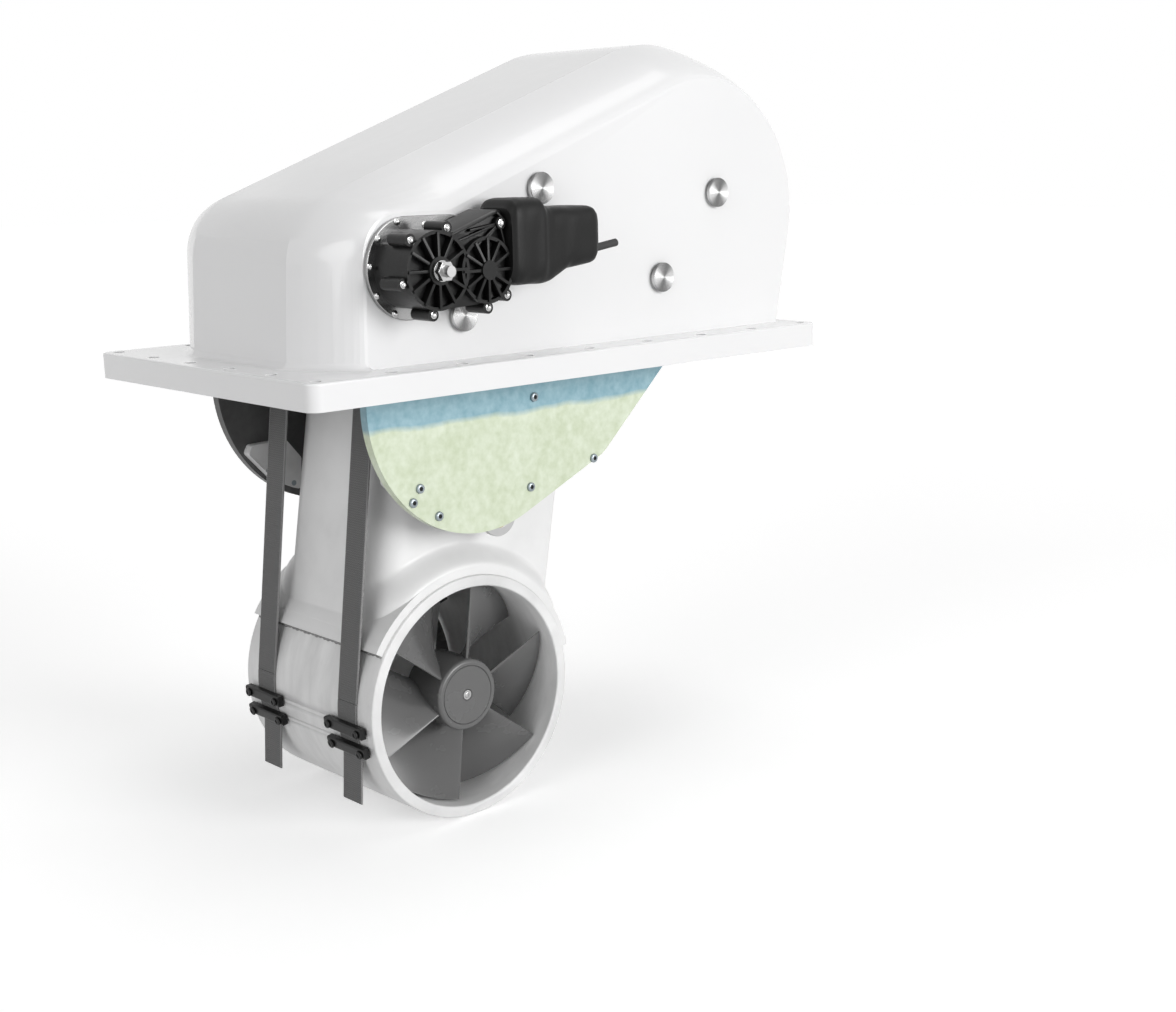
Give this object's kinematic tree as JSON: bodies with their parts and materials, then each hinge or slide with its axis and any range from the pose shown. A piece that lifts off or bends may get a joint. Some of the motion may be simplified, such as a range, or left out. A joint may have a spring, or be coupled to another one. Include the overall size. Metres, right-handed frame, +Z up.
{
  "type": "retracting bow thruster",
  "caption": "Retractable bow thruster: moulded housing on a bolting flange, swing-down leg with tunnel and twin counter-turning propellers, strap winch with gearmotor.",
  "frame": {"origin": "centre of the rectangular hull flange, on its underside", "axes": "+X to the high end of the housing, -Y to the side with the winch gearmotor, +Z up; the leg hangs down along -Z"},
  "size_m": [0.54, 0.326, 0.619],
  "materials": {
    "gelcoat": "glossy white gelcoat over laminate",
    "leg_paint": "satin grey-white",
    "laminate": "mottled pale green glass laminate",
    "stainless": "turned",
    "zinc": "bright zinc",
    "rubber": "matt",
    "nylon": "matt",
    "black_plastic": "satin",
    "bronze": "machined",
    "steel": "ground",
    "motor_paint": "satin",
    "propeller": "satin grey",
    "drum_plastic": "satin",
    "webbing": "woven"
  },
  "bodies": {
    "housing": {"housing_shell": "gelcoat", "side_plate_near": "laminate", "side_plate_far": "laminate", "stop_block_near": "nylon", "stop_block_far": "nylon", "plate_screws": "stainless", "bolt_caps": "stainless", "cap_seals": "rubber", "fixing_bolts": "stainless", "pivot_bolts": "stainless", "gearmotor_seat": "zinc", "gear_case": "black_plastic", "gear_cover": "black_plastic", "gearmotor_screws": "stainless", "motor_bell": "black_plastic", "winch_motor_case": "black_plastic", "lead_sleeve": "rubber", "shaft_bush_near": "bronze", "shaft_bearing_far": "bronze", "shaft_seal": "rubber", "strap_near": "webbing", "strap_far": "webbing"},
    "swing_arms": {"swing_arm_near": "stainless", "swing_arm_far": "stainless", "arm_bushes": "bronze"},
    "leg": {"leg_casing": "leg_paint", "tunnel_tube": "leg_paint", "strap_clamps": "black_plastic", "clamp_screws": "stainless", "gear_leg": "leg_paint", "drive_motor_case": "motor_paint", "drive_motor_cap": "motor_paint", "motor_terminals": "bronze", "drive_bearing": "steel", "prop_bearings": "steel", "prop_seals": "rubber", "arm_pins": "stainless", "guide_pins": "stainless", "guide_shoes": "nylon", "strap_end_near": "webbing", "strap_end_far": "webbing"},
    "drive": {"drive_shaft": "stainless", "armature": "steel", "bevel_pinion": "steel"},
    "prop_near": {"propeller_near": "propeller", "prop_shaft_near": "stainless", "bevel_gear_near": "steel"},
    "prop_far": {"propeller_far": "propeller", "prop_shaft_far": "stainless", "bevel_gear_far": "steel"},
    "winch": {"winch_shaft": "stainless", "strap_drum_near": "drum_plastic", "strap_drum_far": "drum_plastic", "strap_coils": "webbing", "shaft_nut": "zinc", "output_gear": "steel"},
    "reduction": {"intermediate_gear": "bronze"},
    "worm_drive": {"worm_shaft": "steel", "winch_armature": "steel"}
  },
  "joints": [
    {"name": "arm_swing", "type": "hinge", "parent": "housing", "child": "swing_arms", "pos_m": [-0.111, 0, 0.053], "axis": [0, -1, 0], "range_deg": [0, 74.56], "deforming": ["strap_near", "strap_far"]},
    {"name": "leg_tilt", "type": "hinge", "parent": "swing_arms", "child": "leg", "pos_m": [-0.0647, 0, -0.11085], "axis": [0, -1, 0], "range_deg": [-129.56, 0]},
    {"name": "winch_spin", "type": "hinge", "parent": "housing", "child": "winch", "pos_m": [-0.164, 0, 0.09], "axis": [0, -1, 0], "range_deg": [0, 1267.52]},
    {"name": "reduction_spin", "type": "hinge", "parent": "housing", "child": "reduction", "pos_m": [-0.119, -0.145, 0.088], "axis": [0, -1, 0], "range_deg": [-1469.59, 0]},
    {"name": "worm_spin", "type": "hinge", "parent": "housing", "child": "worm_drive", "pos_m": [-0.119, -0.145, 0.106], "axis": [1, 0, 0], "range_deg": [0, 35270.12]},
    {"name": "prop_near_spin", "type": "hinge", "parent": "leg", "child": "prop_near", "pos_m": [-0.091, 0, -0.26], "axis": [0, -1, 0], "continuous": true},
    {"name": "prop_far_spin", "type": "hinge", "parent": "leg", "child": "prop_far", "pos_m": [-0.091, 0, -0.26], "axis": [0, -1, 0], "continuous": true},
    {"name": "drive_spin", "type": "hinge", "parent": "leg", "child": "drive", "pos_m": [-0.091, 0, -0.26], "axis": [0.1736, 0, 0.9848], "continuous": true}
  ],
  "couplings": [
    {"joint": "leg_tilt", "follows": "arm_swing", "ratio": -1.7377},
    {"joint": "winch_spin", "follows": "arm_swing", "ratio": 17},
    {"joint": "reduction_spin", "follows": "arm_swing", "ratio": -19.71},
    {"joint": "worm_spin", "follows": "arm_swing", "ratio": 473.04},
    {"joint": "prop_far_spin", "follows": "prop_near_spin", "ratio": -1},
    {"joint": "drive_spin", "follows": "prop_near_spin", "ratio": 2.1}
  ]
}
